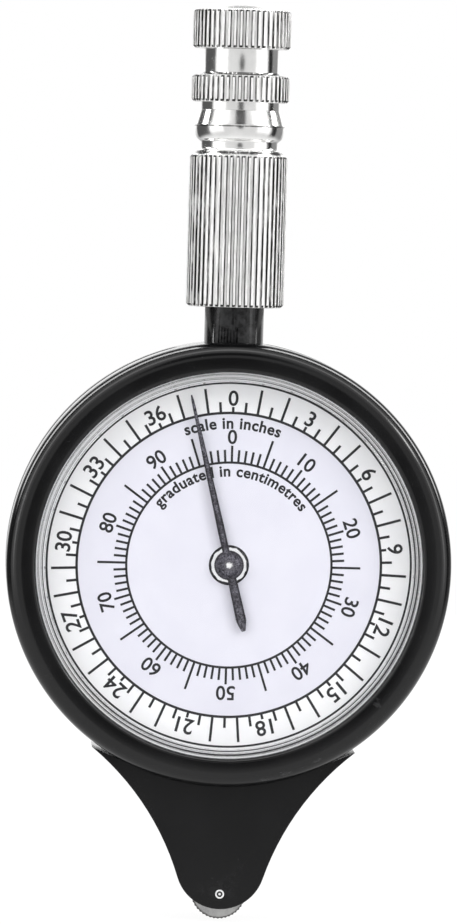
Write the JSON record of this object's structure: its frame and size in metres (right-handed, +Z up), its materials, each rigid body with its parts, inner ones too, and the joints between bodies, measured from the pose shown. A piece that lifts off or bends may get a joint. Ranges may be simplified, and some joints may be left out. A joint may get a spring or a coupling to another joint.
{
  "type": "opisometer map measurer",
  "caption": "Map measurer: a small tracing wheel under a round case drives a pointer over a twin-scale dial, held by a knurled metal grip.",
  "frame": {"origin": "where the tracing wheel touches the map, in the middle of the case's thickness", "axes": "+Z up along the grip, the dial faces -Y, +X to the right as the dial is read"},
  "size_m": [0.0524, 0.0124, 0.1087],
  "materials": {
    "black_plastic": "moulded black, soft gloss",
    "bezel_plastic": "moulded black, smooth gloss",
    "crystal": "clear polished acrylic",
    "dial": "white lacquer with black print",
    "eyelet": "bright rolled edge",
    "pointer": "dark burnished lacquer",
    "steel": "turned",
    "screw_steel": "zinc plated",
    "wheel_steel": "turned and notched",
    "brass": "stamped and milled",
    "nickel": "nickel plated, straight knurl"
  },
  "bodies": {
    "case": {"rear_case": "black_plastic", "front_case": "black_plastic", "bezel_ring": "bezel_plastic", "crystal": "crystal", "dial_plate": "dial", "dial_eyelet": "eyelet", "idler_pin": "steel", "wheel_axle": "steel", "movement_plate": "brass", "center_bush": "brass", "plate_screws": "steel", "case_screws": "screw_steel", "stem": "black_plastic", "handle_stud": "steel", "stud_nut": "steel", "grip_barrel": "nickel", "grip_head": "nickel"},
    "tracing": {"tracing_wheel": "wheel_steel", "wheel_pinion": "brass"},
    "idler": {"idler_gear": "brass"},
    "first_wheel": {"first_arbor": "steel", "first_gear": "brass"},
    "second_wheel": {"second_arbor": "steel", "second_gear": "brass"},
    "pointer_work": {"center_arbor": "steel", "center_gear": "brass", "pointer": "pointer", "pointer_boss": "pointer"}
  },
  "joints": [
    {"name": "pointer_spin", "type": "hinge", "parent": "case", "child": "pointer_work", "pos_m": [0, 0, 0.04232], "axis": [0, 1, 0], "continuous": true},
    {"name": "second_wheel_spin", "type": "hinge", "parent": "case", "child": "second_wheel", "pos_m": [0, 0, 0.02432], "axis": [0, 1, 0], "continuous": true},
    {"name": "first_wheel_spin", "type": "hinge", "parent": "case", "child": "first_wheel", "pos_m": [0, 0, 0.01632], "axis": [0, 1, 0], "continuous": true},
    {"name": "idler_spin", "type": "hinge", "parent": "case", "child": "idler", "pos_m": [0, 0, 0.00832], "axis": [0, 1, 0], "continuous": true},
    {"name": "tracing_wheel_spin", "type": "hinge", "parent": "case", "child": "tracing", "pos_m": [0, 0, 0.00332], "axis": [0, 1, 0], "continuous": true}
  ],
  "couplings": [
    {"joint": "second_wheel_spin", "follows": "pointer_spin", "ratio": -4},
    {"joint": "first_wheel_spin", "follows": "pointer_spin", "ratio": 16},
    {"joint": "idler_spin", "follows": "pointer_spin", "ratio": -20.571},
    {"joint": "tracing_wheel_spin", "follows": "pointer_spin", "ratio": 48}
  ]
}
